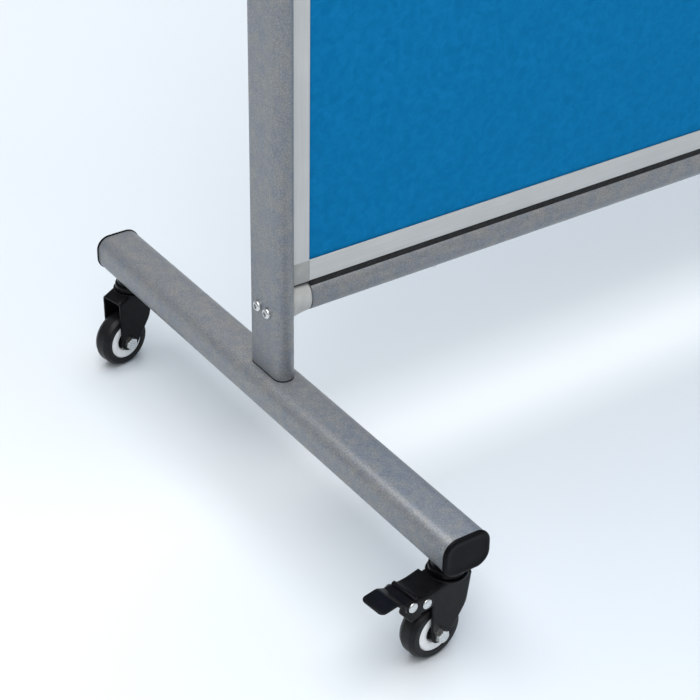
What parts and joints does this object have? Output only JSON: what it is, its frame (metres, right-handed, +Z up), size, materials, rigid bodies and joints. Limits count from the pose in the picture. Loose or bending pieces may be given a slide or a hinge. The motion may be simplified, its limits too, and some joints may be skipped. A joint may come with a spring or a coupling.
{
  "type": "rolling partition",
  "caption": "Room divider on swivel casters: a felt covered panel in an aluminium frame between two uprights that stand on tubular feet.",
  "frame": {"origin": "on the floor, under the middle of the panel", "axes": "+X along the panel to the right, -Y towards the front, +Z up"},
  "size_m": [1.331, 0.53, 1.8],
  "materials": {
    "silver_vein": "silver vein textured powder coat, semi gloss",
    "black_plastic": "moulded black plastic, slightly textured",
    "grey_plastic": "moulded light grey plastic",
    "frame_aluminium": "satin anodised",
    "blue_felt": "dense needle felt",
    "core_board": "soft fibre board",
    "zinc": "bright zinc plate",
    "black_steel": "black coated pressed steel",
    "black_rubber": "matt elastomer",
    "bearing_steel": "polished",
    "tyre_black": "satin polyurethane tread",
    "hub_grey": "light grey nylon"
  },
  "bodies": {
    "root": {"upright_left": "silver_vein", "upright_cap_left": "black_plastic", "upright_right": "silver_vein", "upright_cap_right": "black_plastic", "upright_base_blocks": "zinc", "upright_base_seals": "black_rubber", "foot_tube_left": "silver_vein", "foot_cap_front_left": "black_plastic", "foot_cap_rear_left": "black_plastic", "foot_tube_right": "silver_vein", "foot_cap_front_right": "black_plastic", "foot_cap_rear_right": "black_plastic", "foot_bolts": "zinc", "lower_cross_bar": "silver_vein", "upper_cross_bar": "silver_vein", "bar_socket_lower_left": "grey_plastic", "bar_socket_lower_right": "grey_plastic", "bar_socket_upper_left": "grey_plastic", "bar_socket_upper_right": "grey_plastic", "socket_screws": "zinc", "frame_rail_lower": "frame_aluminium", "frame_rail_upper": "frame_aluminium", "frame_stile_left": "frame_aluminium", "frame_stile_right": "frame_aluminium", "frame_corners": "grey_plastic", "panel_gasket_lower": "black_rubber", "panel_gasket_upper": "black_rubber", "panel_screws": "zinc", "panel_core": "core_board", "fabric_front": "blue_felt", "fabric_rear": "blue_felt", "caster_stem_nuts": "zinc", "caster_swivel_balls": "bearing_steel", "caster_front_left_mount": "black_steel", "caster_front_right_mount": "black_steel", "caster_rear_left_mount": "black_steel", "caster_rear_right_mount": "black_steel"},
    "caster_front_left_swivel": {"caster_front_left_fork": "black_steel", "caster_front_left_axle": "zinc"},
    "caster_front_left_wheel": {"caster_front_left_tyre": "tyre_black", "caster_front_left_hub": "hub_grey"},
    "caster_front_left_brake": {"caster_front_left_brake_pedal": "black_steel", "caster_front_left_brake_shoe": "black_rubber", "caster_front_left_brake_rivets": "zinc"},
    "caster_front_right_swivel": {"caster_front_right_fork": "black_steel", "caster_front_right_axle": "zinc"},
    "caster_front_right_wheel": {"caster_front_right_tyre": "tyre_black", "caster_front_right_hub": "hub_grey"},
    "caster_front_right_brake": {"caster_front_right_brake_pedal": "black_steel", "caster_front_right_brake_shoe": "black_rubber", "caster_front_right_brake_rivets": "zinc"},
    "caster_rear_left_swivel": {"caster_rear_left_fork": "black_steel", "caster_rear_left_axle": "zinc"},
    "caster_rear_left_wheel": {"caster_rear_left_tyre": "tyre_black", "caster_rear_left_hub": "hub_grey"},
    "caster_rear_right_swivel": {"caster_rear_right_fork": "black_steel", "caster_rear_right_axle": "zinc"},
    "caster_rear_right_wheel": {"caster_rear_right_tyre": "tyre_black", "caster_rear_right_hub": "hub_grey"}
  },
  "joints": [
    {"name": "caster_front_left_swivel_turn", "type": "hinge", "parent": "root", "child": "caster_front_left_swivel", "pos_m": [-0.59, -0.241, 0.073], "axis": [0, 0, 1], "continuous": true},
    {"name": "caster_front_left_wheel_roll", "type": "hinge", "parent": "caster_front_left_swivel", "child": "caster_front_left_wheel", "pos_m": [-0.60542, -0.24262, 0.025], "axis": [-0.1045, 0.9945, 0], "continuous": true},
    {"name": "caster_front_left_brake_press", "type": "hinge", "parent": "caster_front_left_swivel", "child": "caster_front_left_brake", "pos_m": [-0.62182, -0.24434, 0.0645], "axis": [0.1045, -0.9945, 0], "range_deg": [0, 22]},
    {"name": "caster_front_right_swivel_turn", "type": "hinge", "parent": "root", "child": "caster_front_right_swivel", "pos_m": [0.59, -0.241, 0.073], "axis": [0, 0, 1], "continuous": true},
    {"name": "caster_front_right_wheel_roll", "type": "hinge", "parent": "caster_front_right_swivel", "child": "caster_front_right_wheel", "pos_m": [0.60542, -0.24262, 0.025], "axis": [-0.1045, -0.9945, 0], "continuous": true},
    {"name": "caster_front_right_brake_press", "type": "hinge", "parent": "caster_front_right_swivel", "child": "caster_front_right_brake", "pos_m": [0.62182, -0.24434, 0.0645], "axis": [0.1045, 0.9945, 0], "range_deg": [0, 22]},
    {"name": "caster_rear_left_swivel_turn", "type": "hinge", "parent": "root", "child": "caster_rear_left_swivel", "pos_m": [-0.59, 0.241, 0.073], "axis": [0, 0, 1], "continuous": true},
    {"name": "caster_rear_left_wheel_roll", "type": "hinge", "parent": "caster_rear_left_swivel", "child": "caster_rear_left_wheel", "pos_m": [-0.60516, 0.23778, 0.025], "axis": [-0.2079, 0.9781, 0], "continuous": true},
    {"name": "caster_rear_right_swivel_turn", "type": "hinge", "parent": "root", "child": "caster_rear_right_swivel", "pos_m": [0.59, 0.241, 0.073], "axis": [0, 0, 1], "continuous": true},
    {"name": "caster_rear_right_wheel_roll", "type": "hinge", "parent": "caster_rear_right_swivel", "child": "caster_rear_right_wheel", "pos_m": [0.60516, 0.23778, 0.025], "axis": [-0.2079, -0.9781, 0], "continuous": true}
  ]
}
